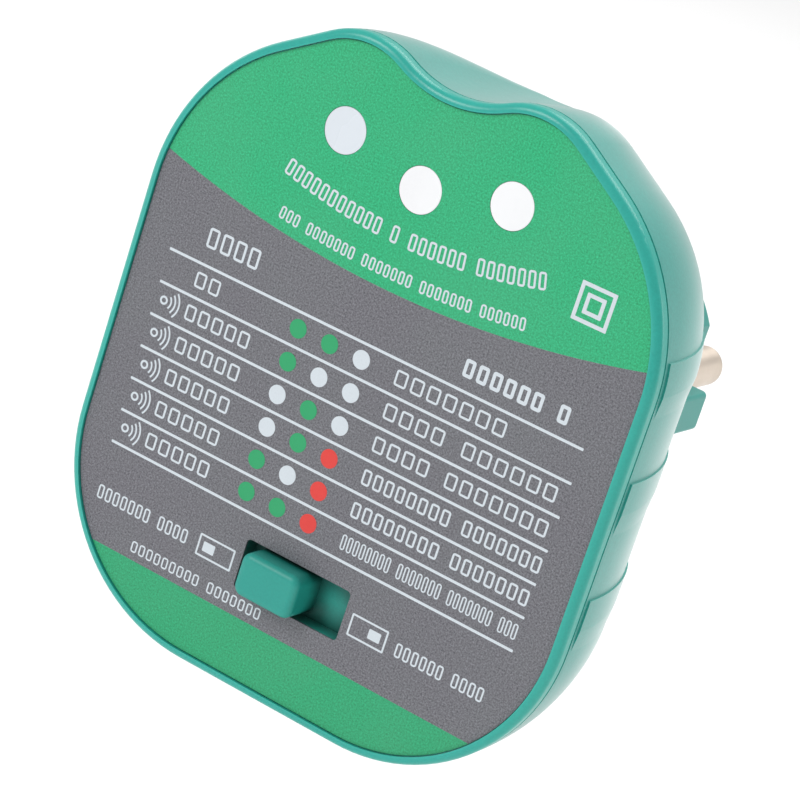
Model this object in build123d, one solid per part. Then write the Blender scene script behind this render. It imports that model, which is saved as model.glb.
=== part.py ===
from build123d import *
import math
import os

# Plug-in transmitter and socket tester: a flat hand-sized housing with a label on its front
# and a two-pin side-earth plug on its back. Millimetres.
# Origin: centre of the plug's end face, between the pins. +Y is the way the pins point,
# +Z is up, and +X is to the right of someone who reads the label.
# Places on the housing are given as (x, z) from the label's centre, and as a depth that
# counts from the label's printed surface towards the back.

# ---------------------------------------------------------------- driving dimensions
# plug
PIN_R = 2.4
PIN_PITCH = 19.0
PIN_LENGTH = 19.4
PIN_TIP_ROUND = 1.3
PIN_ROOT_R = 1.9
PIN_SEAT = 0.1
PLUG_R = 18.4
PLUG_FLAT_X = 15.7
PLUG_RIB_X = 18.2
PLUG_RIB_HEIGHT = 4.7
PLUG_RIB_ROUND = 0.6
PLUG_LENGTH = 20.1
PLUG_EDGE_ROUND = 0.5
COLLAR_R = 3.2
EARTH_WIDTH = 5.0
EARTH_THICK = 0.8
EARTH_GROOVE_WIDTH = 8.0
EARTH_GROOVE_DEEP = 2.4
EARTH_GROOVE_LENGTH = 14.0
EARTH_TAIL_Z = 5.2

# housing
HOUSING_DEPTH = 28.5
PARTING_DEPTH = 1.6
PARTING_GROOVE = 0.15
RIM_PROUD = 0.3
RIM_WIDTH = 1.1
RIM_ROUND = 0.9
WALL = 2.2
SIDE_ROUND = 34.8
SIDE_ANGLE = 38.2
BACK_ROUND = 12.0
LABEL_BELOW_PINS = 0.35

# outline of the label
HALF_WIDTH = 30.0
BOTTOM_Z = -34.5
LOWER_CORNER_R = 19.7
UPPER_CORNER_R = 20.8
UPPER_CORNER_Z = 12.2
SHOULDER_ANGLE = 58.3
CROWN_R = 24.0
NOTCH_BOTTOM_Z = 31.9
NOTCH_R = 14.6
BUMP_R = 8.8
SCOOP_END_DEPTH = 30.0
SCOOP_END_DROP = 1.8
SCOOP_END_R = 16.0
SCOOP_LOFT_END = 24.0

# front face
LABEL_THICK = 0.25
PLATE_THICK = 2.0
LENS_R = 2.46
LAMPS = {"left": (-10.26, 25.13), "centre": (0.0, 22.71), "right": (10.26, 25.13)}
WINDOW_X = 0.15
WINDOW_Z = -22.3
WINDOW_WIDTH = 13.5
WINDOW_HEIGHT = 5.7
BUTTON_TRAVEL = 3.5
BUTTON_WIDTH = 7.4
BUTTON_HEIGHT = 4.9
BUTTON_PROUD = 2.7

# slide switch
FLANGE_LENGTH = 18.4
FLANGE_HEIGHT = 7.6
FLANGE_THICK = 1.0
KNOB_WIDTH = 2.6
KNOB_HEIGHT = 2.2
KNOB_TIP = 4.6
CAN_FRONT = 7.6
CAN_LENGTH = 13.0
CAN_HEIGHT = 6.0
TERMINALS = [(x, z) for x in (-4.0, 0.0, 4.0) for z in (-1.6, 1.6)]

# inside
BOARD_DEPTH = 12.0
BOARD_THICK = 1.6
BOARD_WIDTH = 35.6
BOARD_TOP = 28.5
BOARD_LOW = -28.6
CHIP_AT = (0.0, -8.5)
BUZZER_AT = (0.0, 6.5)
BUZZER_R = 6.0
CAPACITOR_AT = (0.0, -15.0)
FUSE_AT = (0.0, 16.5)
RESISTORS = [(-11.6, 4.0), (-8.9, 4.0), (8.9, 4.0), (11.6, 4.0)]
RESISTOR_LEG = 4.6
WIRE_PADS = {"live": (-9.5, 12.0), "neutral": (9.5, 12.0), "earth": (0.0, 11.5)}
WIRE_R = 0.75
TAIL_DEPTH = 20.5
CASE_SCREWS = [(-22.4, 19.0), (22.4, 19.0), (-22.4, -20.0), (22.4, -20.0)]
BOARD_SCREWS = [(-14.8, 13.0), (14.8, 13.0), (-14.8, -12.0), (14.8, -12.0)]
GAP = 0.05

# grip pads on each side
PAD_TOPS = [16.7, 3.85, -9.1]
PAD_LENGTH = 5.8
PAD_PROUD = 0.22
PAD_FRONT_DEPTH = 2.3
PAD_BACK_DEPTH = 19.0
PAD_RUNOUT = 2.3
PAD_TUCK = 0.8

# worked out from the above
PIN_Z = LABEL_BELOW_PINS
COLLAR = (HOUSING_DEPTH + 3.0, HOUSING_DEPTH + 5.0)
PLUG_SCREWS = [(x, PIN_Z + z) for x in (-6.5, 6.5) for z in (11.5, -11.5)]
SHOULDER = Vector(math.cos(math.radians(SHOULDER_ANGLE)), math.sin(math.radians(SHOULDER_ANGLE)))
SHOULDER_REACH = (
    (HALF_WIDTH - UPPER_CORNER_R) * SHOULDER.X + UPPER_CORNER_Z * SHOULDER.Y + UPPER_CORNER_R
)
SIDE_CENTRE = -SIDE_ROUND
BACK_CENTRE = SIDE_CENTRE + (SIDE_ROUND - BACK_ROUND) * math.cos(math.radians(SIDE_ANGLE))
BACK_CENTRE_DEPTH = HOUSING_DEPTH - BACK_ROUND
SIDE_START = BACK_CENTRE_DEPTH - (SIDE_ROUND - BACK_ROUND) * math.sin(math.radians(SIDE_ANGLE))
LABEL_Y = -(HOUSING_DEPTH + PLUG_LENGTH)
LABEL_Z = -LABEL_BELOW_PINS
PLUG_FACE_DEPTH = HOUSING_DEPTH + PLUG_LENGTH
PLATE_BACK = LABEL_THICK + PLATE_THICK
BUTTON_X = WINDOW_X - BUTTON_TRAVEL / 2
BOARD_BACK = BOARD_DEPTH + BOARD_THICK
FLANGE_NEAR = PLATE_BACK + 0.1
FLANGE_FAR = FLANGE_NEAR + FLANGE_THICK
SLIDER_NEAR = CAN_FRONT + 0.55


# ---------------------------------------------------------------- helpers
def front_plane(depth):
    """Plane parallel to the label, seen from the front: its x is +X and its y is +Z."""
    return Plane(origin=(0, LABEL_Y + depth, LABEL_Z), x_dir=(1, 0, 0), z_dir=(0, -1, 0))


def slab(sketch, near, far):
    """A sketch of the front view, made solid between two depths."""
    return extrude(front_plane(far) * sketch, amount=far - near)


def rod(x, z, radius, near, far):
    """A round bar along the depth."""
    return slab(Pos(x, z) * Circle(radius), near, far)


def block(x, z, width, height, near, far):
    """A square-edged block, centred on (x, z)."""
    return slab(Pos(x, z) * Rectangle(width, height), near, far)


def soft_block(x, z, width, height, near, far, corner, edge=0.0):
    """A block with rounded corners, and with its front edge rounded too if edge is given."""
    body = slab(Pos(x, z) * RectangleRounded(width, height, corner), near, far)
    if edge:
        body = fillet(body.faces().sort_by(Axis.Y)[0].edges(), edge)
    return body


def place(x, z, depth):
    """A point of the housing in the part's own frame."""
    return Vector(x, LABEL_Y + depth, LABEL_Z + z)


# ---------------------------------------------------------------- outline
def bump_centre(notch_bottom, notch_radius, drop=0.0):
    """Centre of the arc that joins the straight shoulder, lowered by drop, and the notch."""
    notch = Vector(0, notch_bottom + notch_radius)
    foot = SHOULDER * (SHOULDER_REACH - drop - BUMP_R)
    along = Vector(-SHOULDER.Y, SHOULDER.X)
    middle = (notch - foot).dot(along)
    across = (notch - foot).dot(SHOULDER)
    return foot + along * (middle - math.sqrt((notch_radius + BUMP_R) ** 2 - across**2))


def notch_curves(grow, notch_bottom, notch_radius, drop=0.0):
    """The right bump, the notch and the left bump, from right to left, offset out by grow."""
    bump = bump_centre(notch_bottom, notch_radius, drop)
    start = SHOULDER_ANGLE
    notch_z = notch_bottom + notch_radius
    end = math.degrees(math.atan2(notch_z - bump.Y, -bump.X))
    right = CenterArc((bump.X, bump.Y), BUMP_R + grow, start, end - start)
    notch = CenterArc((0, notch_z), notch_radius - grow, end - 180, 180 - 2 * end)
    left = CenterArc((-bump.X, bump.Y), BUMP_R + grow, 180 - end, end - start)
    return [right, notch, left]


def outline_edges(grow=0.0, notched=True):
    """Edges of the label's outline offset out by grow, or of the same shape without its notch."""
    corner_x = HALF_WIDTH - LOWER_CORNER_R
    corner_z = BOTTOM_Z + LOWER_CORNER_R
    shoulder_x = HALF_WIDTH - UPPER_CORNER_R
    side = HALF_WIDTH + grow
    lower_r = LOWER_CORNER_R + grow
    upper_r = UPPER_CORNER_R + grow
    sweep = SHOULDER_ANGLE
    crown_z = (SHOULDER_REACH - CROWN_R) / SHOULDER.Y
    top = [CenterArc((0, crown_z), CROWN_R + grow, sweep, 180 - 2 * sweep)]
    if notched:
        top = notch_curves(grow, NOTCH_BOTTOM_Z, NOTCH_R)
    right = CenterArc((shoulder_x, UPPER_CORNER_Z), upper_r, 0, sweep)
    left = CenterArc((-shoulder_x, UPPER_CORNER_Z), upper_r, 180 - sweep, sweep)
    return [
        Line((-corner_x, BOTTOM_Z - grow), (corner_x, BOTTOM_Z - grow)),
        CenterArc((corner_x, corner_z), lower_r, -90, 90),
        Line((side, corner_z), (side, UPPER_CORNER_Z)),
        right,
        Line(right @ 1, top[0] @ 0),
        *top,
        Line(top[-1] @ 1, left @ 0),
        left,
        Line((-side, UPPER_CORNER_Z), (-side, corner_z)),
        CenterArc((-corner_x, corner_z), lower_r, 180, 90),
    ]


def outline(grow=0.0, notched=True):
    """The label's outline as a face, offset out by grow."""
    return make_face(outline_edges(grow, notched))


def side_drop(depth):
    """How far the rear cover's side has come in at a depth."""
    run = depth - SIDE_START
    if run <= 0:
        return 0.0
    if run <= SIDE_ROUND * math.sin(math.radians(SIDE_ANGLE)):
        return SIDE_ROUND - math.sqrt(SIDE_ROUND**2 - run**2)
    back_run = min(depth - BACK_CENTRE_DEPTH, BACK_ROUND)
    return -BACK_CENTRE - math.sqrt(BACK_ROUND**2 - back_run**2)


def scoop_section(grow, depth):
    """Everything above the finger scoop at a depth, as a closed outline."""
    clear_z = 60.0  # well above the crown
    part = (depth - PARTING_DEPTH) / (SCOOP_END_DEPTH - PARTING_DEPTH)
    bottom = NOTCH_BOTTOM_Z - SCOOP_END_DROP * part
    radius = NOTCH_R * (SCOOP_END_R / NOTCH_R) ** part
    drop = side_drop(depth) + 0.02
    curves = notch_curves(grow, bottom, radius, drop)
    right = curves[0] @ 0
    left = curves[2] @ 1
    edges = [
        *curves,
        Line(left, (left.X, clear_z)),
        Line((left.X, clear_z), (right.X, clear_z)),
        Line((right.X, clear_z), right),
    ]
    return make_face(edges)


def scoop(grow):
    """The finger scoop in the top: the notch at the parting line, sinking towards the back."""
    depths = [PARTING_DEPTH, 5.0, 9.0, 13.0, 17.0, 21.0, SCOOP_LOFT_END]
    sections = [front_plane(depth) * scoop_section(grow, depth) for depth in depths]
    tail = slab(scoop_section(grow, SCOOP_LOFT_END), SCOOP_LOFT_END, HOUSING_DEPTH + 1)
    return loft(sections) + tail


def side_profile(inset, reach):
    """Half section of the rear cover, inset under its surface: how far out, then how deep."""
    turn = math.radians(SIDE_ANGLE)
    side_r = SIDE_ROUND - inset
    back_r = BACK_ROUND - inset
    side = CenterArc((SIDE_CENTRE, SIDE_START), side_r, 0, SIDE_ANGLE)
    back = CenterArc((BACK_CENTRE, BACK_CENTRE_DEPTH), back_r, SIDE_ANGLE, 90 - SIDE_ANGLE)
    flat = BACK_CENTRE_DEPTH + back_r
    return make_face([
        Line((-reach, PARTING_DEPTH), (-inset, PARTING_DEPTH)),
        Line((-inset, PARTING_DEPTH), (-inset, SIDE_START)),
        side,
        back,
        Line((BACK_CENTRE, flat), (-reach, flat)),
        Line((-reach, flat), (-reach, PARTING_DEPTH)),
    ])


def rear_form(inset):
    """The rear cover's outer shape, or the shape that lies inset under its surface."""
    reach = 18.0
    path = Wire([front_plane(0) * edge for edge in outline_edges(RIM_WIDTH, notched=False)])
    start = path @ 0
    outward = Plane(origin=start, x_dir=(0, 0, -1), z_dir=(1, 0, 0))
    ring = sweep(outward * side_profile(inset, reach), path=path)
    core = slab(outline(RIM_WIDTH - reach + 0.5, notched=False), PARTING_DEPTH, HOUSING_DEPTH - inset)
    body = ring + core
    return body - scoop(RIM_WIDTH - inset)


# ---------------------------------------------------------------- covers and label
def window(grow=0.0):
    """The opening for the switch button, offset out by grow."""
    width = WINDOW_WIDTH + 2 * grow
    height = WINDOW_HEIGHT + 2 * grow
    return Pos(WINDOW_X, WINDOW_Z) * RectangleRounded(width, height, 0.5)


def front_cover():
    """Front panel with the label's pocket, lamp holes, switch window, guides and screw posts."""
    lip_outer = outline(-RIM_WIDTH - 0.3)
    lip_inner = outline(-RIM_WIDTH - 1.5)
    lip_end = 3.6
    rim = slab(outline(RIM_WIDTH), -RIM_PROUD, PARTING_DEPTH)
    rim = fillet(rim.faces().sort_by(Axis.Y)[0].edges(), RIM_ROUND)
    rim = chamfer(rim.faces().sort_by(Axis.Y)[-1].edges(), PARTING_GROOVE)
    body = rim - slab(outline(0.12), -RIM_PROUD - 1, LABEL_THICK)
    body += slab(lip_outer, PARTING_DEPTH, PLATE_BACK)
    body += slab(lip_outer - lip_inner, PLATE_BACK, lip_end)
    for x, z in CASE_SCREWS:
        body += rod(x, z, 3.0, PLATE_BACK, 7.9)
    for x, z in BOARD_SCREWS:
        body += rod(x, z, 2.2, PLATE_BACK, BOARD_DEPTH - GAP)
    guide_z = FLANGE_HEIGHT / 2 + 0.15 + 0.5
    for side in (-1, 1):
        body += block(WINDOW_X, WINDOW_Z + side * guide_z, 23.0, 1.0, PLATE_BACK, 3.7)
    for x, z in CASE_SCREWS:
        body -= rod(x, z, 1.2, 3.2, 8)
    for x, z in BOARD_SCREWS:
        body -= rod(x, z, 0.95, 6.0, BOARD_DEPTH)
    for x, z in LAMPS.values():
        body -= rod(x, z, LENS_R + GAP, 0, PLATE_BACK)
    return body - slab(window(), -1, PLATE_BACK)


def rear_cover():
    """Deep rear shell with a round back, grip pads, screw wells and a seat for the plug."""
    body = rear_form(0.0)
    joint_line = outline(RIM_WIDTH + 2) - outline(RIM_WIDTH - PARTING_GROOVE)
    body -= slab(joint_line, PARTING_DEPTH - 1, PARTING_DEPTH + PARTING_GROOVE)
    body += grip_pads()
    body -= rear_form(WALL)
    post_end = 8.0
    for x, z in CASE_SCREWS:
        body += rod(x, z, 4.2, post_end, HOUSING_DEPTH) & rear_form(0.3)
    for x, z in CASE_SCREWS:
        body -= rod(x, z, 3.3, post_end + 2.0, HOUSING_DEPTH + 1)
        body -= rod(x, z, 1.6, post_end - 1, HOUSING_DEPTH)
    body -= slab(neck_sketch(GAP), HOUSING_DEPTH - WALL - 2, HOUSING_DEPTH + 1)
    for x, z in PLUG_SCREWS:
        body -= rod(x, z, 1.4, HOUSING_DEPTH - WALL - 2, HOUSING_DEPTH + 1)
    return body


def grip_pads():
    """Three raised finger pads on each side, square at the top and running out at the bottom."""
    form = rear_form(0.0)
    skin = rear_form(-PAD_PROUD)
    edge_x = HALF_WIDTH + RIM_WIDTH
    slope = math.degrees(math.atan2(PAD_PROUD, PAD_RUNOUT))
    depth_span = (PAD_FRONT_DEPTH, PAD_BACK_DEPTH)
    pads = []
    for side in (-1, 1):
        for top in PAD_TOPS:
            foot = Pos(place(side * edge_x, top - PAD_LENGTH, 0))
            ramp = foot * Rot(0, side * slope, 0) * foot.inverse() * form
            middle = top - (PAD_LENGTH + PAD_TUCK) / 2
            raised = block(side * (edge_x - 3), middle, 8, PAD_LENGTH + PAD_TUCK, *depth_span)
            pads.append(raised & skin & ramp)
    return pads


def face_label():
    """Printed front label with clear places for the lamps and the switch window."""
    body = slab(outline(0.0), 0, LABEL_THICK - 0.01)
    for x, z in LAMPS.values():
        body -= rod(x, z, LENS_R + GAP, -1, LABEL_THICK + 1)
    return body - slab(window(), -1, LABEL_THICK + 1)


# ---------------------------------------------------------------- lamps
def lamp_lens(x, z):
    """Flat white light window with a flange behind the front panel."""
    face = rod(x, z, LENS_R, 0.02, PLATE_BACK + 0.8)
    return face + rod(x, z, 3.2, PLATE_BACK + GAP, PLATE_BACK + 0.8)


def lamp(x, z):
    """Round lamp with a domed front, a flange at its foot and two legs through the board."""
    radius = 2.45
    tip = PLATE_BACK + 1.0
    body = rod(x, z, radius, tip, BOARD_DEPTH - GAP)
    body = fillet(body.faces().sort_by(Axis.Y)[0].edges(), radius - 0.1)
    body += rod(x, z, 2.85, BOARD_DEPTH - 1.05, BOARD_DEPTH - GAP)
    for leg in (-1.27, 1.27):
        body += block(x + leg, z, 0.5, 0.5, BOARD_DEPTH - 1, BOARD_BACK + 1.4)
    return body


# ---------------------------------------------------------------- switch
def switch_button():
    """Rounded thumb block on a sliding plate that keeps the window closed from behind."""
    thumb = soft_block(
        BUTTON_X, WINDOW_Z, BUTTON_WIDTH, BUTTON_HEIGHT, -BUTTON_PROUD, FLANGE_FAR, 1.1, 0.8
    )
    plate = soft_block(
        BUTTON_X, WINDOW_Z, FLANGE_LENGTH, FLANGE_HEIGHT, FLANGE_NEAR, FLANGE_FAR, 0.6
    )
    socket = block(BUTTON_X, WINDOW_Z, KNOB_WIDTH + 2.2, KNOB_HEIGHT + 2.0, FLANGE_FAR, 6.6)
    pocket = block(BUTTON_X, WINDOW_Z, KNOB_WIDTH + 0.1, KNOB_HEIGHT + 0.1, KNOB_TIP - 0.1, 7)
    return thumb + plate + socket - pocket


def switch_slider():
    """The slide switch's own knob, held in the button's socket, on a flat carriage."""
    knob = block(BUTTON_X, WINDOW_Z, KNOB_WIDTH, KNOB_HEIGHT, KNOB_TIP, SLIDER_NEAR + 0.5)
    carriage = block(BUTTON_X, WINDOW_Z, 6.4, 4.2, SLIDER_NEAR, SLIDER_NEAR + 1.2)
    return knob + carriage


def switch_can():
    """Folded steel can of the slide switch, slotted for the knob, open towards the board."""
    x = WINDOW_X
    can = block(x, WINDOW_Z, CAN_LENGTH, CAN_HEIGHT, CAN_FRONT, BOARD_DEPTH - 0.2)
    can -= block(x, WINDOW_Z, CAN_LENGTH - 0.8, CAN_HEIGHT - 0.8, CAN_FRONT + 0.4, BOARD_DEPTH)
    slot_width = KNOB_WIDTH + BUTTON_TRAVEL + 0.6
    return can - block(x, WINDOW_Z, slot_width, KNOB_HEIGHT + 0.5, CAN_FRONT - 1, CAN_FRONT + 1)


def switch_base():
    """Insulating base plate of the slide switch, with a hole for each terminal."""
    near = BOARD_DEPTH - 1.6
    base = block(WINDOW_X, WINDOW_Z, CAN_LENGTH - 1.0, CAN_HEIGHT - 1.0, near, BOARD_DEPTH - GAP)
    for x, z in TERMINALS:
        base -= block(WINDOW_X + x, WINDOW_Z + z, 0.9, 0.5, near - 1, BOARD_DEPTH + 1)
    return base


def switch_terminals():
    """Six flat terminals, from the contacts in the switch to the back of the board."""
    pins = []
    for x, z in TERMINALS:
        pin = block(WINDOW_X + x, WINDOW_Z + z, 0.8, 0.4, BOARD_DEPTH - 1.85, BOARD_BACK + 1.2)
        cap_z = WINDOW_Z + z
        cap = block(WINDOW_X + x, cap_z, 1.4, 1.0, BOARD_DEPTH - 1.95, BOARD_DEPTH - 1.65)
        pins.append(pin + cap)
    return pins


# ---------------------------------------------------------------- circuit board
def circuit_board():
    """Board across the housing behind the front panel, drilled for screws and legs."""
    height = BOARD_TOP - BOARD_LOW
    middle = (BOARD_TOP + BOARD_LOW) / 2
    body = slab(Pos(0, middle) * RectangleRounded(BOARD_WIDTH, height, 5), BOARD_DEPTH, BOARD_BACK)
    for x, z in BOARD_SCREWS:
        body -= rod(x, z, 1.3, 0, BOARD_BACK + 1)
    drilled = [(x + leg, z) for x, z in LAMPS.values() for leg in (-1.27, 1.27)]
    drilled += [(WINDOW_X + x, WINDOW_Z + z) for x, z in TERMINALS]
    drilled += [(x, z + leg) for x, z in RESISTORS for leg in (-RESISTOR_LEG, RESISTOR_LEG)]
    drilled += [(BUZZER_AT[0] + leg, BUZZER_AT[1]) for leg in (-3.2, 3.2)]
    drilled += [(CAPACITOR_AT[0] + leg, CAPACITOR_AT[1]) for leg in (-5.0, 5.0)]
    drilled += [(FUSE_AT[0] + leg, FUSE_AT[1]) for leg in (-6.5, 6.5)]
    for x, z in drilled:
        body -= rod(x, z, 0.55, 0, BOARD_BACK + 1)
    return body


def controller_chip():
    """Flat chip with a row of bent legs on each side."""
    x, z = CHIP_AT
    body = soft_block(x, z, 8.6, 3.9, BOARD_DEPTH - 1.75, BOARD_DEPTH - 0.2, 0.2, 0.15)
    for step in range(7):
        leg_x = x + (step - 3) * 1.27
        for side in (-1, 1):
            shoulder_z = z + side * 2.2
            foot_z = z + side * 2.5
            body += block(leg_x, shoulder_z, 0.4, 0.7, BOARD_DEPTH - 1.0, BOARD_DEPTH - 0.8)
            body += block(leg_x, foot_z, 0.4, 0.25, BOARD_DEPTH - 1.0, BOARD_DEPTH - GAP)
    return body


def resistors():
    """Small resistors standing clear of the board on their bent leads."""
    group = []
    lead_depth = BOARD_DEPTH - 1.6
    for x, z in RESISTORS:
        centre = place(x, z, lead_depth)
        body = Pos(centre) * Cylinder(1.15, 6.2)
        body = fillet(body.edges(), 0.4)
        body += Pos(centre) * Cylinder(0.3, 2 * RESISTOR_LEG + 0.5)
        for side in (-1, 1):
            leg_z = z + side * RESISTOR_LEG
            body += rod(x, leg_z, 0.29, lead_depth - 0.2, BOARD_BACK + 1.2)
        group.append(body)
    return group


def buzzer():
    """Round sounder with a sound hole in its front and two legs."""
    x, z = BUZZER_AT
    near = 4.0
    body = rod(x, z, BUZZER_R, near, BOARD_DEPTH - GAP)
    body = fillet(body.faces().sort_by(Axis.Y)[0].edges(), 0.5)
    body -= rod(x, z, 1.0, near - 1, near + 2.5)
    for leg in (-3.2, 3.2):
        body += rod(x + leg, z, 0.35, BOARD_DEPTH - 0.5, BOARD_BACK + 1.2)
    return body


def signal_capacitor():
    """Box capacitor on the back of the board."""
    x, z = CAPACITOR_AT
    body = soft_block(x, z, 13.0, 6.0, BOARD_BACK + GAP, BOARD_BACK + 8.5, 0.4)
    for leg in (-5.0, 5.0):
        body += rod(x + leg, z, 0.35, BOARD_DEPTH - 1.0, BOARD_BACK + 1)
    return body


def fuse():
    """Small tube fuse with end caps, on leads behind the board."""
    x, z = FUSE_AT
    depth = BOARD_BACK + 2.4
    centre = place(x, z, depth)
    turn = Rot(0, 90, 0)
    body = Pos(centre) * turn * Cylinder(1.5, 8.4)
    for side in (-1, 1):
        body += Pos(centre + Vector(side * 3.4, 0, 0)) * turn * Cylinder(1.75, 1.8)
        body += rod(x + side * 6.5, z, 0.35, BOARD_DEPTH - 1.0, depth + 0.35)
    return body + Pos(centre) * turn * Cylinder(0.35, 13.0)


# ---------------------------------------------------------------- screws
def screw(x, z, head_near, head_r, head_high, tip, shank_r):
    """Cross-recessed screw put in from the back."""
    head = rod(x, z, head_r, head_near, head_near + head_high)
    head = fillet(head.faces().sort_by(Axis.Y)[-1].edges(), head_high * 0.45)
    slot = head_r * 1.1
    cut_near = head_near + head_high * 0.45
    cut_far = head_near + head_high + 1
    for width, height in ((slot, slot / 4), (slot / 4, slot)):
        head -= block(x, z, width, height, cut_near, cut_far)
    shank = rod(x, z, shank_r, tip, head_near + 0.1)
    return head + chamfer(shank.faces().sort_by(Axis.Y)[0].edges(), shank_r * 0.5)


def case_screws():
    """Four long screws in the rear wells, into the front cover's posts."""
    return [screw(x, z, 10.0 + GAP, 2.7, 2.2, 3.6, 1.15) for x, z in CASE_SCREWS]


def board_screws():
    """Four short screws that hold the board on the front cover's posts."""
    return [screw(x, z, BOARD_BACK + GAP, 2.0, 1.4, 6.6, 0.9) for x, z in BOARD_SCREWS]


# ---------------------------------------------------------------- plug
def neck_sketch(grow=0.0):
    """Neck that carries the contacts through the rear cover's back wall."""
    return Pos(0, PIN_Z) * RectangleRounded(27.0 + 2 * grow, 14.0 + 2 * grow, 3)


def plug_profile():
    """Round plug cut flat at the sides, with a guide rib across the middle."""
    disc = Circle(PLUG_R) & Rectangle(2 * PLUG_FLAT_X, 3 * PLUG_R)
    rib = RectangleRounded(2 * PLUG_RIB_X, PLUG_RIB_HEIGHT, PLUG_RIB_ROUND)
    return Pos(0, PIN_Z) * (disc + rib)


def clip_path(side, grow=0.0):
    """Side view of an earth clip as a band offset out by grow: depth across, height up."""
    face = PLUG_FACE_DEPTH
    floor_z = PLUG_R - EARTH_GROOVE_DEEP
    rear = face - EARTH_GROOVE_LENGTH
    spine = Polyline(
        (face - 2.0, floor_z + 0.6),
        (face - 6.0, floor_z + 1.5),
        (rear + 1.6, floor_z + 0.6),
        (rear + 0.9, floor_z + 0.2),
        (rear + 0.9, EARTH_TAIL_Z),
        (TAIL_DEPTH, EARTH_TAIL_Z),
    )
    band = trace(spine, EARTH_THICK + 2 * grow)
    width = EARTH_WIDTH + 2 * grow
    side_plane = Plane(
        origin=(-width / 2, LABEL_Y, LABEL_Z + PIN_Z), x_dir=(0, 1, 0), z_dir=(1, 0, 0)
    )
    clip = extrude(side_plane * band, amount=width)
    return clip if side > 0 else mirror(clip, Plane.XY)


def plug_body():
    """Moulded plug seated on the round back, with pin holes and grooves for the earth clips."""
    body = slab(plug_profile(), HOUSING_DEPTH - 6, PLUG_FACE_DEPTH)
    body = fillet(body.faces().sort_by(Axis.Y)[-1].edges(), PLUG_EDGE_ROUND)
    body -= rear_form(-GAP)
    body += slab(neck_sketch(), HOUSING_DEPTH - WALL - 1.2, HOUSING_DEPTH + 1)
    for side in (-1, 1):
        x = side * PIN_PITCH / 2
        body -= rod(x, PIN_Z, PIN_ROOT_R + 0.02, 0, PLUG_FACE_DEPTH + 1)
        body -= rod(x, PIN_Z, PIN_R + 0.05, PLUG_FACE_DEPTH - PIN_SEAT, PLUG_FACE_DEPTH + 1)
        body -= rod(x, PIN_Z, COLLAR_R + 0.02, COLLAR[0] - 0.02, COLLAR[1] + 0.02)
        groove_z = PIN_Z + side * (PLUG_R - EARTH_GROOVE_DEEP / 2 + 1)
        near = PLUG_FACE_DEPTH - EARTH_GROOVE_LENGTH
        height = EARTH_GROOVE_DEEP + 2
        body -= block(0, groove_z, EARTH_GROOVE_WIDTH, height, near, PLUG_FACE_DEPTH + 1)
        body -= clip_path(side, GAP)
    for x, z in PLUG_SCREWS:
        body -= rod(x, z, 1.0, HOUSING_DEPTH - 8, HOUSING_DEPTH + 7)
    return body


def plug_pin(x):
    """Round contact pin with a rounded tip, a collar inside the plug and a solder tail."""
    shank = rod(x, PIN_Z, PIN_R, PLUG_FACE_DEPTH - PIN_SEAT, PLUG_FACE_DEPTH + PIN_LENGTH)
    shank = fillet(shank.faces().sort_by(Axis.Y)[-1].edges(), PIN_TIP_ROUND)
    root = rod(x, PIN_Z, PIN_ROOT_R, HOUSING_DEPTH - 3.6, PLUG_FACE_DEPTH)
    collar = rod(x, PIN_Z, COLLAR_R, COLLAR[0], COLLAR[1])
    tail = rod(x, PIN_Z, 1.2, TAIL_DEPTH, HOUSING_DEPTH - 3)
    return shank + root + collar + tail


def plug_screws():
    """Four screws from inside the rear cover into the plug."""
    near = HOUSING_DEPTH - WALL - GAP
    group = []
    for x, z in PLUG_SCREWS:
        head = rod(x, z, 1.9, near - 1.4, near)
        shank = rod(x, z, 0.95, near - 0.5, HOUSING_DEPTH + 6)
        slot = block(x, z, 2.6, 0.6, near - 2, near - 0.8)
        group.append(fillet(head.faces().sort_by(Axis.Y)[0].edges(), 0.5) + shank - slot)
    return group


# ---------------------------------------------------------------- wires
def wire(start, finish):
    """Insulated wire that leaves a contact's tail and bends down on to its board pad."""
    start_x, start_z, start_depth = start
    end_x, end_z = finish
    end_depth = BOARD_BACK + GAP
    bend_depth = (start_depth + end_depth) / 2
    points = [
        place(start_x, start_z, start_depth - GAP),
        place(start_x, start_z, bend_depth),
        place(end_x, end_z, bend_depth),
        place(end_x, end_z, end_depth),
    ]
    path = FilletPolyline(*points, radius=2.2)
    section = Plane(origin=path @ 0, z_dir=path % 0) * Circle(WIRE_R)
    return sweep(section, path=path)


def earth_link():
    """Bare wire behind the board that joins the two earth clips' tails."""
    depth = TAIL_DEPTH + 1.4
    reach = 2 * EARTH_TAIL_Z - EARTH_THICK - 2 * GAP
    return Pos(place(1.5, PIN_Z, depth)) * Cylinder(0.6, reach)


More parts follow.
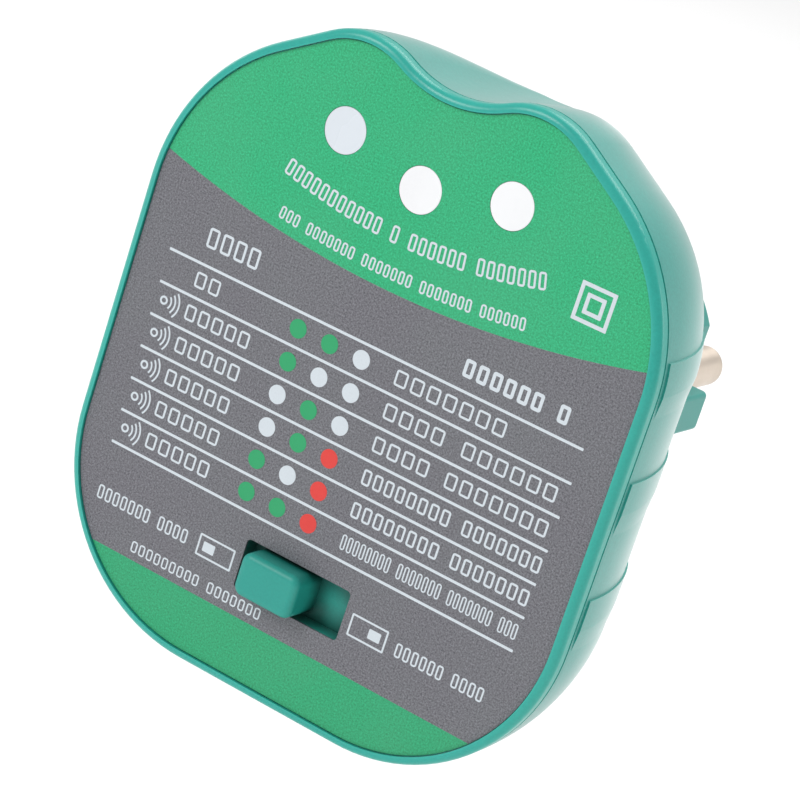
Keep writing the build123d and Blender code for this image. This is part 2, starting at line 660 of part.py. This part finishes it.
# ---------------------------------------------------------------- write the parts
nodes = {
    "front_cover": front_cover(),
    "rear_cover": rear_cover(),
    "face_label": face_label(),
    "switch_button": switch_button(),
    "switch_slider": switch_slider(),
    "switch_can": switch_can(),
    "switch_base": switch_base(),
    "switch_terminals": switch_terminals(),
    "circuit_board": circuit_board(),
    "controller_chip": controller_chip(),
    "resistors": resistors(),
    "signal_capacitor": signal_capacitor(),
    "fuse": fuse(),
    "buzzer": buzzer(),
    "case_screws": case_screws(),
    "board_screws": board_screws(),
    "plug_screws": plug_screws(),
    "plug_body": plug_body(),
    "live_pin": plug_pin(-PIN_PITCH / 2),
    "neutral_pin": plug_pin(PIN_PITCH / 2),
    "earth_clip_top": clip_path(1),
    "earth_clip_bottom": clip_path(-1),
    "live_wire": wire((-PIN_PITCH / 2, PIN_Z, TAIL_DEPTH), WIRE_PADS["live"]),
    "neutral_wire": wire((PIN_PITCH / 2, PIN_Z, TAIL_DEPTH), WIRE_PADS["neutral"]),
    "earth_wire": wire((0, PIN_Z + EARTH_TAIL_Z, TAIL_DEPTH), WIRE_PADS["earth"]),
    "earth_link": earth_link(),
}
for place_name, (lamp_x, lamp_z) in LAMPS.items():
    nodes["led_lens_" + place_name] = lamp_lens(lamp_x, lamp_z)
    nodes["led_" + place_name] = lamp(lamp_x, lamp_z)

os.makedirs("parts", exist_ok=True)
for name, shape in nodes.items():
    solid = Compound(children=list(shape)) if isinstance(shape, list) else shape
    export_step(solid, "parts/" + name + ".step")
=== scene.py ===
import math

import bmesh
import bpy
from mathutils import Matrix, Vector


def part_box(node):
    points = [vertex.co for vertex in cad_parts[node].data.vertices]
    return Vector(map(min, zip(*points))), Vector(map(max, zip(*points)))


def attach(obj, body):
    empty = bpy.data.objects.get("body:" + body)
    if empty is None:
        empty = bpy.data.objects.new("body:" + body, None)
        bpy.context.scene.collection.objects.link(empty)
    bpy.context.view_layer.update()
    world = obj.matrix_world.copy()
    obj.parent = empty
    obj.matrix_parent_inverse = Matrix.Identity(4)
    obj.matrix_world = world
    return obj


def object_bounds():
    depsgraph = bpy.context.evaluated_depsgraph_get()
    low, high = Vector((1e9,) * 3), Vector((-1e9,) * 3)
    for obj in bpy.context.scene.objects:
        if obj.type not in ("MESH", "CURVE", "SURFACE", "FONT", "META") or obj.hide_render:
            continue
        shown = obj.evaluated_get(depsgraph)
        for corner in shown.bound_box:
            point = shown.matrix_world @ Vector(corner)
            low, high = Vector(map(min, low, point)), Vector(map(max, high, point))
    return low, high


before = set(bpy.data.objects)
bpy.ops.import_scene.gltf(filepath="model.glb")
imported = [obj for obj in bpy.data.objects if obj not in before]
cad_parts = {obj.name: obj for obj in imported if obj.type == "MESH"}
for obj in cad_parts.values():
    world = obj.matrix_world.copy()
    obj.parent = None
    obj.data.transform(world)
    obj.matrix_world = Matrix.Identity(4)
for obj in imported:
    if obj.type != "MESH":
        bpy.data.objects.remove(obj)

# Circuit breaker finder: the printed front, the materials, the studio and the camera.
# Lengths are in metres unless a name or comment says millimetres. Places on the printed
# front are (x, z) in millimetres from the label's centre.

MM = 0.001
cad_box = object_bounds()
HOUSING = "housing"

label_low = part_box("face_label")[0]
LABEL_BOTTOM = 34.5                     # from the label's centre down to its lower edge
LABEL_Y = label_low.y
LABEL_Z = label_low.z + LABEL_BOTTOM * MM
label_centre = Vector((0.0, LABEL_Y, LABEL_Z))
WINDOW_Z = -22.3                        # middle of the switch window, millimetres


# ---------------------------------------------------------------- camera
CAMERA_OFFSET = Vector((139.8, -275.2, 94.05)) * MM     # from the label's centre
CAMERA_AZIMUTH = math.radians(26.06)
CAMERA_ELEVATION = math.radians(16.76)
CAMERA_ROLL = math.radians(18.32)
FOCAL_LENGTH = 141.3                    # millimetres, on a sensor this wide
SENSOR_WIDTH = 36.0
NEAREST_SEEN = 0.01
FURTHEST_SEEN = 50.0


def make_camera():
    """A long lens, in front of the label and to its right and above, rolled anticlockwise."""
    data = bpy.data.cameras.new("camera")
    data.lens = FOCAL_LENGTH
    data.sensor_width = SENSOR_WIDTH
    data.clip_start = NEAREST_SEEN
    data.clip_end = FURTHEST_SEEN
    camera = bpy.data.objects.new("camera", data)
    turn = Matrix.Rotation(CAMERA_AZIMUTH, 4, "Z")
    tilt = Matrix.Rotation(math.pi / 2 - CAMERA_ELEVATION, 4, "X")
    roll = Matrix.Rotation(CAMERA_ROLL, 4, "Z")
    place = Matrix.Translation(label_centre + CAMERA_OFFSET)
    camera.matrix_world = place @ turn @ tilt @ roll
    bpy.context.scene.collection.objects.link(camera)
    bpy.context.scene.camera = camera


# ---------------------------------------------------------------- material helpers
BLACK = (0.0, 0.0, 0.0, 1.0)
NOISE_LOW, NOISE_HIGH = 0.3, 0.7        # the range that most of a noise's values lie in
SHUT, OPEN = 0.35, 0.85                 # occlusion deep in a groove, and out in the open
FLAT, BENT = 0.99, 0.85                 # how far a normal agrees with its rounded one
RUBBED_RADIUS = 0.00035                 # how far in from an edge the plastic is rubbed paler
SHEEN_ROUGHNESS = 0.3


def linear(red, green, blue):
    """A colour given as 0-255 screen values, as the shader's linear RGBA."""
    def channel(value):
        value /= 255.0
        return value / 12.92 if value <= 0.04045 else ((value + 0.055) / 1.055) ** 2.4

    return (channel(red), channel(green), channel(blue), 1.0)


class Shader:
    """A Principled material and short ways to add and join its nodes."""

    def __init__(self, name):
        self.material = bpy.data.materials.new(name)
        self.material.use_nodes = True
        self.tree = self.material.node_tree
        self.surface = self.tree.nodes["Principled BSDF"]

    def node(self, kind, inputs=(), **properties):
        """Adds a node, sets its properties, and feeds its inputs by name or number."""
        made = self.tree.nodes.new(kind)
        for key, value in properties.items():
            setattr(made, key, value)
        for key, value in dict(inputs).items():
            self.feed(made.inputs[key], value)
        return made

    def feed(self, socket, value):
        """Links another node's output to a socket, or gives the socket a constant."""
        if isinstance(value, bpy.types.NodeSocket):
            self.tree.links.new(value, socket)
        else:
            socket.default_value = value

    def set(self, **inputs):
        """Feeds the Principled shader's own sockets."""
        for key, value in inputs.items():
            self.feed(self.surface.inputs[key.replace("_", " ")], value)

    def position(self):
        """The place of a point in the CAD frame."""
        return self.node("ShaderNodeTexCoord").outputs["Object"]

    def math(self, operation, first, second=0.0):
        """The result of a Math node."""
        made = self.node("ShaderNodeMath", {0: first, 1: second}, operation=operation)
        return made.outputs[0]

    def noise(self, size, detail=3.0, rough=0.55, stretch=None):
        """Noise from 0 to 1 whose blobs are about size metres across."""
        where = self.position()
        if stretch:
            mapped = self.node("ShaderNodeMapping", {"Vector": where, "Scale": stretch})
            where = mapped.outputs["Vector"]
        inputs = {"Vector": where, "Scale": 1.0 / size, "Detail": detail, "Roughness": rough}
        return self.node("ShaderNodeTexNoise", inputs).outputs["Fac"]

    def ramp(self, value, start, end, low, high):
        """low up to start, high from end on, and a straight slope between them."""
        inputs = {
            "Value": value, "From Min": start, "From Max": end, "To Min": low, "To Max": high,
        }
        return self.node("ShaderNodeMapRange", inputs).outputs["Result"]

    def spread(self, value, low, high):
        """Maps the middle of a noise's range to low..high."""
        return self.ramp(value, NOISE_LOW, NOISE_HIGH, low, high)

    def mix(self, factor, first, second):
        """A colour between two others. The Mix node has sockets of one name for every kind of
        value, so the colour ones are picked by number."""
        inputs = {0: factor, 6: first, 7: second}
        return self.node("ShaderNodeMix", inputs, data_type="RGBA").outputs[2]

    def shade(self, colour, factor):
        """The colour times a factor from 0 to 1."""
        return self.mix(factor, BLACK, colour)

    def bump(self, height, distance, strength=0.6):
        """Normals of a surface raised by up to distance metres."""
        inputs = {"Height": height, "Distance": distance, "Strength": strength}
        return self.node("ShaderNodeBump", inputs).outputs["Normal"]

    def crevice(self, reach, darkest):
        """1 in the open, down to darkest where walls stand closer than reach metres."""
        made = self.node("ShaderNodeAmbientOcclusion", {"Distance": reach}, samples=6)
        return self.ramp(made.outputs["AO"], SHUT, OPEN, darkest, 1.0)

    def near(self, place, reach):
        """1 within reach metres of a place, and 0 further off."""
        inputs = {0: self.position(), 1: place}
        apart = self.node("ShaderNodeVectorMath", inputs, operation="DISTANCE")
        return self.math("LESS_THAN", apart.outputs["Value"], reach)

    def edges(self, radius):
        """1 on sharp edges and 0 on flat faces, from how far a rounded normal turns away."""
        soft = self.node("ShaderNodeBevel", {"Radius": radius}, samples=4).outputs["Normal"]
        hard = self.node("ShaderNodeNewGeometry").outputs["Normal"]
        dot = self.node("ShaderNodeVectorMath", {0: soft, 1: hard}, operation="DOT_PRODUCT")
        return self.ramp(dot.outputs["Value"], FLAT, BENT, 0.0, 1.0)


def scaled(colour, factor):
    """A colour made brighter or darker."""
    return tuple(channel * factor for channel in colour[:3]) + (1.0,)


def plastic(
    name, colour, rough=0.42, grain=0.00022, grain_depth=0.000006, worn=0.25, sheen=0.0,
    grime=None, grime_near=None, speckle=1.12,
):
    """Moulded plastic: spark-eroded grain, faint flow marks, slightly paler rubbed edges.

    grime, a reach in metres and a factor, is painted shade: it darkens the colour in corners
    and grooves. With grime_near, a place and a distance, it does so only round that place."""
    shader = Shader(name)
    flow = shader.noise(0.012, detail=4.0, stretch=(1.0, 1.0, 0.4))
    speck = shader.noise(grain, detail=2.0, rough=0.6)
    base = shader.mix(shader.spread(flow, 0.0, 1.0), scaled(colour, 0.95), scaled(colour, 1.05))
    base = shader.mix(shader.spread(speck, 0.0, 0.5), base, scaled(colour, speckle))
    rubbed = shader.math("MULTIPLY", shader.edges(RUBBED_RADIUS), worn)
    base = shader.mix(rubbed, base, scaled(colour, 1.6))
    # painted shade: the colour is darkened by ambient occlusion in corners and grooves
    if grime:
        open_part = shader.crevice(*grime)
        if grime_near:
            away = shader.math("SUBTRACT", 1.0, shader.near(*grime_near))
            open_part = shader.math("MAXIMUM", open_part, away)
        base = shader.shade(base, open_part)
    roughness = shader.spread(flow, rough - 0.04, rough + 0.04)
    normal = shader.bump(speck, grain_depth)
    shader.set(Base_Color=base, Roughness=roughness, Normal=normal)
    if sheen:
        shader.set(Sheen_Weight=sheen, Sheen_Roughness=SHEEN_ROUGHNESS)
    return shader.material


def metal(name, colour, rough, brush=(1.0, 1.0, 1.0), tarnish=0.12):
    """Plated metal: cloudy tarnish, and fine grain drawn out along the axis where brush is small."""
    shader = Shader(name)
    cloud = shader.noise(0.004, detail=5.0)
    fine = shader.noise(0.00012, detail=2.0, stretch=brush)
    dark = scaled(colour, 1.0 - tarnish)
    base = shader.mix(shader.spread(cloud, 0.0, 1.0), colour, dark)
    roughness = shader.spread(cloud, rough - 0.06, rough + 0.08)
    normal = shader.bump(fine, 0.000004, 0.5)
    shader.set(Base_Color=base, Roughness=roughness, Normal=normal, Metallic=1.0)
    return shader.material


# ---------------------------------------------------------------- the printed front
GREEN_ARC_R = 117.0                     # lower edge of the upper green field, millimetres
GREEN_ARC_LOW = 11.7
GREEN_BAND_Z = -28.1                    # upper edge of the lower green band
GREEN_BAND_PAINTED_SHADE = 0.14                   # painted shade: how much darker the lower green band is painted, for less light towards the bottom


def printed_film():
    """Satin film printed grey, with a green field above an arc and a green band below."""
    shader = Shader("printed_film")
    place = shader.node("ShaderNodeSeparateXYZ", {0: shader.position()})
    x = shader.math("DIVIDE", place.outputs["X"], MM)
    z = shader.math("DIVIDE", shader.math("SUBTRACT", place.outputs["Z"], LABEL_Z), MM)
    above = shader.math("SUBTRACT", z, GREEN_ARC_LOW + GREEN_ARC_R)
    squares = shader.math("ADD", shader.math("POWER", x, 2.0), shader.math("POWER", above, 2.0))
    top = shader.math("LESS_THAN", shader.math("SQRT", squares), GREEN_ARC_R)
    low = shader.math("LESS_THAN", z, GREEN_BAND_Z)
    green = shader.math("MAXIMUM", top, low)
    speck = shader.noise(0.0002, rough=0.8)
    cloud = shader.noise(0.009)
    grain = shader.spread(speck, 0.0, 1.0)
    grey_base = shader.mix(grain, linear(50, 50, 56), linear(148, 147, 155))
    green_base = shader.mix(grain, linear(0, 138, 82), linear(50, 212, 150))
    # painted shade: the lower green band is darkened, standing in for less light towards the bottom
    band_shade_factor = shader.math("SUBTRACT", 1.0, shader.math("MULTIPLY", low, GREEN_BAND_PAINTED_SHADE))
    green_base = shader.shade(green_base, band_shade_factor)
    base = shader.mix(green, grey_base, green_base)
    base = shader.mix(shader.spread(cloud, 0.0, 0.06), base, linear(150, 170, 160))
    # painted shade: the film is darkened where the rim's wall stands close, a painted shadow line
    # along the label's edge
    base = shader.shade(base, shader.crevice(0.0007, 0.5))
    shader.set(Base_Color=base, Roughness=shader.spread(cloud, 0.42, 0.52))
    shader.set(Normal=shader.bump(speck, 0.000008))
    return shader.material


def ink(name, colour):
    """Screen-printed ink: slightly uneven cover over the film's grain."""
    shader = Shader(name)
    speck = shader.noise(0.00016, rough=0.7)
    thin = shader.noise(0.0015, detail=4.0)
    base = shader.mix(shader.spread(speck, 0.0, 0.6), colour, scaled(colour, 0.88))
    base = shader.mix(shader.spread(thin, 0.0, 0.3), base, scaled(colour, 0.92))
    shader.set(Base_Color=base, Roughness=shader.spread(thin, 0.40, 0.50))
    shader.set(Normal=shader.bump(speck, 0.000006))
    return shader.material


INK_HIGH = 0.02                         # the ink's front above the film, millimetres
INK_SUNK = 0.01                         # its back, under the film's surface


def ring_points(x, z, radius, count=40):
    """A circle, anticlockwise."""
    turns = [2 * math.pi * step / count for step in range(count)]
    return [(x + radius * math.cos(turn), z + radius * math.sin(turn)) for turn in turns]


def soft_rectangle(x0, z0, x1, z1, radius, steps=5):
    """Corner-rounded rectangle, anticlockwise from its lower right corner."""
    radius = min(radius, (x1 - x0) / 2, (z1 - z0) / 2)
    corners = [
        (x1 - radius, z0 + radius, -90),
        (x1 - radius, z1 - radius, 0),
        (x0 + radius, z1 - radius, 90),
        (x0 + radius, z0 + radius, 180),
    ]
    points = []
    for x, z, start in corners:
        for step in range(steps + 1):
            turn = math.radians(start + 90 * step / steps)
            points.append((x + radius * math.cos(turn), z + radius * math.sin(turn)))
    return points


def print_ink(name, shapes, material):
    """Thin printed shapes on the film. A shape is an outline, or an outline and its hole."""
    mesh = bmesh.new()
    front = LABEL_Y - INK_HIGH * MM
    back = LABEL_Y + INK_SUNK * MM

    def loop(points, y):
        """The corners of an outline, at a depth."""
        return [mesh.verts.new((px * MM, y, LABEL_Z + pz * MM)) for px, pz in points]

    def band(first, second):
        """Faces between two outlines of as many corners."""
        count = len(first)
        for index in range(count):
            after = (index + 1) % count
            mesh.faces.new((first[index], first[after], second[after], second[index]))

    for shape in shapes:
        outer, hole = shape if isinstance(shape, tuple) else (shape, None)
        outer_front, outer_back = loop(outer, front), loop(outer, back)
        band(outer_back, outer_front)
        if hole:
            hole_front, hole_back = loop(hole, front), loop(hole, back)
            band(outer_front, hole_front)
            band(hole_front, hole_back)
            band(hole_back, outer_back)
        else:
            mesh.faces.new(outer_front)
            mesh.faces.new(reversed(outer_back))
    bmesh.ops.recalc_face_normals(mesh, faces=mesh.faces)
    data = bpy.data.meshes.new(name)
    mesh.to_mesh(data)
    mesh.free()
    data.materials.append(material)
    piece = bpy.data.objects.new(name, data)
    bpy.context.scene.collection.objects.link(piece)
    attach(piece, HOUSING)


ROWS = 6
ROW_PITCH = 3.74
RULE_TOP = 5.6                          # uppermost rule of the table
RULE_HALF = 26.1                        # half the length of a rule
RULE_WIDE = 0.30
PRINT_RAISED = 0.1                      # the print of a row lies this far above its middle
DOT_R = 1.03
DOT_COLUMNS = (-8.5, -4.45, -0.4)
DOT_CODES = ("GGW", "GWW", "WGW", "WGR", "GWR", "GGR")     # green, white and red, row by row
SOUNDER_X = -24.95
SOUNDER_R = 0.50
SOUNDER_HOLE_R = 0.27
WAVES = 3
WAVE_FIRST_R = 0.95
WAVE_STEP = 0.52
WAVE_HALF_ANGLE = 42
WAVE_WIDE = 0.2

# the switch positions' symbols, each slot and its knob, and the nested squares: corner to corner
SWITCH_SLOTS = [(-12.2, -23.9, -7.5, -21.4), (7.8, -23.85, 12.45, -21.3)]
SWITCH_KNOBS = [(-11.5, -23.2, -10.0, -22.1), (10.2, -23.1, 11.7, -22.0)]
SLOT_WIDE = 0.22
KNOB_ROUND = 0.12
SQUARES = [(20.1, 17.3, 24.2, 21.4), (21.05, 18.25, 23.25, 20.45)]
SQUARE_WIDE = 0.42
CRISP = 0.1                             # radius of a crisp printed corner

WORD_SPACE = 0.9                        # between words, in letters
LETTER_WIDE = 0.74                      # a letter's box, as a share of the letters' pitch
LETTER_ROUND = 0.3
LAST_GAP = 0.2                          # left off after the last letter, as a share of the pitch
ROW_WORD_HIGH = 1.75
ROW_WORD_LEFT = -22.0
ROW_CODE_LEFT = 3.9
THIN = 0.24

# words at the left of each row: right end, letters in each word
LEFT_ROWS = [(-18.7, [2])] + [(-13.5, [5])] * (ROWS - 1)

# words at the right of each row: right end, letters in each word, stroke
RIGHT_ROWS = [
    (17.6, [7], THIN),
    (25.1, [4, 6], THIN),
    (25.4, [4, 7], THIN),
    (26.0, [8, 7], THIN),
    (25.9, [8, 7], THIN),
    (25.9, [8, 7, 7, 3], 0.17),
]

# other lines: left end, right end, middle, height, letters in each word, stroke
HEADS = [
    (-22.0, -15.2, 8.6, 2.2, [4], 0.28),
    (10.9, 23.6, 8.0, 1.95, [6, 1], 0.38),
]
SWITCH_NOTES = [
    (-25.9, -13.6, -22.7, 1.6, [7, 4], 0.2),
    (13.7, 24.7, -22.7, 1.6, [6, 4], 0.2),
    (-19.9, -2.4, -26.6, 1.3, [9, 7], 0.18),
]

# bent lines, which also have their arc's radius and lowest point
TITLES = [
    (-15.6, 16.7, 0.0, 1.85, [11, 1, 6, 7], THIN, (62.0, 17.4)),
    (-14.7, 15.9, 0.0, 1.4, [3, 7, 7, 7, 6], 0.2, (112.0, 13.55)),
]


def row_z(row):
    """Middle of a table row's print."""
    return RULE_TOP - ROW_PITCH * (row + 0.5) + PRINT_RAISED


def table_rules():
    """Lines above, between and below the rows."""
    rules = []
    half = RULE_WIDE / 2
    for index in range(ROWS + 1):
        z = RULE_TOP - ROW_PITCH * index
        rules.append(soft_rectangle(-RULE_HALF, z - half, RULE_HALF, z + half, CRISP))
    return rules


def code_dots(letter):
    """The dots of one colour in all rows."""
    dots = []
    for row, code in enumerate(DOT_CODES):
        for column, x in enumerate(DOT_COLUMNS):
            if code[column] == letter:
                dots.append(ring_points(x, row_z(row), DOT_R))
    return dots


def outline_box(x0, z0, x1, z1, wide, radius=0.15, hole_radius=0.05):
    """An open rectangle with a stroke this wide: its outline and its hole."""
    inner = soft_rectangle(x0 + wide, z0 + wide, x1 - wide, z1 - wide, hole_radius)
    return (soft_rectangle(x0, z0, x1, z1, radius), inner)


def bend(points, middle, radius, low):
    """Points beside the line at middle, moved beside an arc whose lowest point is at low."""
    bent = []
    for x, z in points:
        turn = x / radius
        reach = radius - (z - middle)
        bent.append((reach * math.sin(turn), low + radius - reach * math.cos(turn)))
    return bent


def word_boxes(x0, x1, z, high, words, wide, arc=None):
    """Blank print in place of words: a small open box for each letter, in runs of given lengths.

    With arc, a radius and a lowest point, the line is bent into an arc."""
    letters = sum(words) + WORD_SPACE * (len(words) - 1)
    pitch = (x1 - x0) / (letters - LAST_GAP)
    low, top = z - high / 2, z + high / 2
    boxes = []
    at = x0
    for word in words:
        for _ in range(word):
            right = at + pitch * LETTER_WIDE
            boxes.append(outline_box(at, low, right, top, wide, LETTER_ROUND))
            at += pitch
        at += WORD_SPACE * pitch
    if arc:
        boxes = [tuple(bend(ring, z, *arc) for ring in box) for box in boxes]
    return boxes


def word_lines(lines):
    """The boxes of several lines of words."""
    return [box for line in lines for box in word_boxes(*line)]


def left_words():
    """Words at the left of the rows."""
    lines = []
    for row, (end, words) in enumerate(LEFT_ROWS):
        lines.append((ROW_WORD_LEFT, end, row_z(row), ROW_WORD_HIGH, words, THIN))
    return word_lines(lines)


def right_words():
    """Words at the right of the rows."""
    lines = []
    for row, (end, words, wide) in enumerate(RIGHT_ROWS):
        lines.append((ROW_CODE_LEFT, end, row_z(row), ROW_WORD_HIGH, words, wide))
    return word_lines(lines)


def arc_stroke(x, z, radius, half_angle, wide, steps=10):
    """A bent stroke, open to the left, round (x, z)."""
    turns = [math.radians(half_angle * (2 * step / steps - 1)) for step in range(steps + 1)]

    def arc(reach):
        return [(x + reach * math.cos(turn), z + reach * math.sin(turn)) for turn in turns]

    return arc(radius + wide / 2) + arc(radius - wide / 2)[::-1]


def tone_marks():
    """A small sounder with three waves, at the left of each row but the first."""
    marks = []
    for row in range(1, ROWS):
        z = row_z(row)
        ring = ring_points(SOUNDER_X, z, SOUNDER_R, 24)
        hole = ring_points(SOUNDER_X, z, SOUNDER_HOLE_R, 24)
        marks.append((ring, hole))
        for wave in range(WAVES):
            radius = WAVE_FIRST_R + WAVE_STEP * wave
            marks.append(arc_stroke(SOUNDER_X, z, radius, WAVE_HALF_ANGLE, WAVE_WIDE))
    return marks


def switch_symbols():
    """The two switch positions: a slot with its knob at the left, and one with it at the right."""
    symbols = []
    for slot, knob in zip(SWITCH_SLOTS, SWITCH_KNOBS):
        symbols.append(outline_box(*slot, SLOT_WIDE))
        symbols.append(soft_rectangle(*knob, KNOB_ROUND))
    return symbols


def nested_squares():
    """The generic symbol for double insulation."""
    return [outline_box(*square, SQUARE_WIDE, CRISP) for square in SQUARES]


def print_the_front():
    """All that is printed on the film, in three inks."""
    white = ink("ink_white", linear(222, 231, 238))
    green = ink("ink_green", linear(40, 172, 110))
    red = ink("ink_red", linear(236, 66, 60))
    print_ink("table_rules", table_rules(), white)
    print_ink("lamp_code_white", code_dots("W"), white)
    print_ink("lamp_code_green", code_dots("G"), green)
    print_ink("lamp_code_red", code_dots("R"), red)
    print_ink("tone_marks", tone_marks(), white)
    print_ink("switch_symbols", switch_symbols(), white)
    print_ink("row_words_left", left_words(), white)
    print_ink("row_words_right", right_words(), white)
    print_ink("column_heads", word_lines(HEADS), white)
    print_ink("title_words", word_lines(TITLES), white)
    print_ink("switch_words", word_lines(SWITCH_NOTES), white)
    print_ink("nested_squares", nested_squares(), white)


# ---------------------------------------------------------------- studio
FLOOR_DROP = 0.045                      # from the object's lowest point down to the floor
FLOOR_REACH = 4.0
WORLD_LIGHT = 0.5                       # how bright the white room lights the object
ROOM_SEEN = 1.0                         # how bright the camera sees it
LIGHTS = [                              # name, place, size in metres, power in watts
    ("key", (-0.45, -0.80, 0.60), 0.45, 3.9),
    ("overhead", (0.05, 0.60, 1.15), 1.20, 11.5),
    ("right_rim", (0.65, 0.65, 0.20), 0.45, 0.9),
    ("left_fill", (-0.80, 0.35, 0.10), 0.60, 1.0),
]


def area_light(name, place, size, power):
    """A round soft light aimed at the label."""
    data = bpy.data.lights.new(name, "AREA")
    data.shape = "DISK"
    data.size = size
    data.energy = power
    light = bpy.data.objects.new(name, data)
    light.location = place
    light.rotation_euler = (label_centre - Vector(place)).to_track_quat("-Z", "Y").to_euler()
    bpy.context.scene.collection.objects.link(light)


def make_room():
    """White surroundings, dimmer as a light source than as a backdrop."""
    world = bpy.data.worlds.new("studio")
    world.use_nodes = True
    nodes = world.node_tree.nodes
    background = nodes["Background"]
    background.inputs["Color"].default_value = (1.0, 1.0, 1.0, 1.0)
    seen = nodes.new("ShaderNodeLightPath").outputs["Is Camera Ray"]
    strength = nodes.new("ShaderNodeMapRange")
    strength.inputs["To Min"].default_value = WORLD_LIGHT
    strength.inputs["To Max"].default_value = ROOM_SEEN
    world.node_tree.links.new(seen, strength.inputs["Value"])
    world.node_tree.links.new(strength.outputs["Result"], background.inputs["Strength"])
    bpy.context.scene.world = world
    bpy.context.scene.view_settings.view_transform = "Standard"


def make_floor():
    """Pale floor under the object, which hangs clear of it."""
    mesh = bpy.data.meshes.new("floor")
    height = cad_box[0][2] - FLOOR_DROP
    signs = [(-1, -1), (1, -1), (1, 1), (-1, 1)]
    corners = [(FLOOR_REACH * x, FLOOR_REACH * y, height) for x, y in signs]
    mesh.from_pydata(corners, [], [(0, 1, 2, 3)])
    floor = bpy.data.objects.new("floor", mesh)
    shader = Shader("pale_floor")
    cloud = shader.spread(shader.noise(0.3, detail=2.0), 0.0, 1.0)
    base = shader.mix(cloud, (0.94, 0.94, 0.94, 1.0), (0.95, 0.95, 0.95, 1.0))
    shader.set(Base_Color=base, Roughness=0.8)
    mesh.materials.append(shader.material)
    bpy.context.scene.collection.objects.link(floor)


def make_studio():
    """Room, lights and floor."""
    make_room()
    for light in LIGHTS:
        area_light(*light)
    make_floor()


# ---------------------------------------------------------------- finishes of the CAD parts
COVER_GRAIN = 0.0003                    # size of the covers' moulded grain
COVER_GRAIN_DEPTH = 0.000012
WINDOW_REACH = 0.009                    # from the window's middle to just past its corners


def moulded(name, colour, rough, **options):
    """The grained plastic of the covers and the button."""
    return plastic(name, colour, rough, COVER_GRAIN, COVER_GRAIN_DEPTH, **options)


def clear_moulding(name, colour, rough, **options):
    """A smooth glossy moulding with no grain and no rubbed edges."""
    return plastic(name, colour, rough, grain_depth=0.0, worn=0.0, **options)


def teal_finishes():
    """Covers, button and plug. The front cover has painted shade only inside the switch window, and
    the button has painted shade in its corners.
    """
    window_place = (0.0, LABEL_Y, LABEL_Z + WINDOW_Z * MM)
    rear = moulded("cover_plastic", linear(48, 154, 143), 0.40, sheen=0.9, speckle=1.35)
    # painted shade: the front cover's colour is darkened in the corners and grooves of the switch
    # window
    front = moulded(
        "front_plastic", linear(44, 171, 157), 0.30, sheen=0.15, speckle=1.2,
        grime=(0.004, 0.35), grime_near=(window_place, WINDOW_REACH),
    )
    # painted shade: the button and its plate are darkened next to walls and in corners
    button = moulded(
        "button_plastic", linear(36, 156, 143), 0.42, grime=(0.003, 0.2), speckle=1.2
    )
    plug = plastic("plug_plastic", linear(54, 152, 142), 0.42, sheen=0.25)
    return {"rear_cover": rear, "front_cover": front, "switch_button": button, "plug_body": plug}


def lamp_finishes():
    """Light windows and the lamps behind them. The left window has a greyer copy of the white lens,
    as painted shade.
    """
    white = clear_moulding("lens_white", linear(250, 251, 253), 0.25, speckle=1.02)
    # painted shade: the same white lens painted greyer for the left window, which lies in more shade
    shaded_lens = clear_moulding("lens_white_painted_shade", linear(224, 231, 238), 0.25, speckle=1.02)
    resin = clear_moulding("led_resin", linear(225, 230, 226), 0.12)
    finishes = {}
    for side, lens in (("left", shaded_lens), ("centre", white), ("right", white)):
        finishes["led_lens_" + side] = lens
        finishes["led_" + side] = resin
    return finishes


def inner_finishes():
    """Board, switch, screws, contacts and wires."""
    black = plastic("black_plastic", linear(32, 32, 34), 0.5)
    laminate = plastic("laminate", linear(128, 90, 56), 0.6)
    board = plastic("board_mask", linear(26, 98, 58), 0.3, grain_depth=0.000002)
    tan = plastic("resistor_coat", linear(188, 168, 124), 0.35)
    yellow = plastic("capacitor_case", linear(206, 166, 44), 0.35)
    glass = plastic("fuse_tube", linear(206, 216, 212), 0.15, grain_depth=0.0)
    along_pin = (1.0, 0.08, 1.0)
    nickel = metal("pin_nickel", linear(222, 209, 195), 0.46, brush=along_pin, tarnish=0.06)
    steel = metal("screw_steel", linear(200, 198, 194), 0.34)
    tin = metal("tin_plate", linear(214, 212, 206), 0.4)
    return {
        "switch_slider": black,
        "switch_can": tin,
        "switch_base": laminate,
        "switch_terminals": tin,
        "circuit_board": board,
        "controller_chip": black,
        "resistors": tan,
        "signal_capacitor": yellow,
        "fuse": glass,
        "buzzer": black,
        "case_screws": steel,
        "board_screws": steel,
        "plug_screws": steel,
        "live_pin": nickel,
        "neutral_pin": nickel,
        "earth_clip_top": tin,
        "earth_clip_bottom": tin,
        "earth_link": tin,
        "live_wire": plastic("wire_brown", linear(104, 62, 36), 0.5),
        "neutral_wire": plastic("wire_blue", linear(44, 84, 170), 0.5),
        "earth_wire": plastic("wire_green_yellow", linear(150, 190, 60), 0.5),
    }


def finish_nodes():
    """Gives every CAD node its material."""
    finishes = {"face_label": printed_film()}
    finishes.update(teal_finishes())
    finishes.update(lamp_finishes())
    finishes.update(inner_finishes())
    for name, material in finishes.items():
        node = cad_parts[name]
        node.data.materials.clear()
        node.data.materials.append(material)


make_camera()
finish_nodes()
print_the_front()
make_studio()
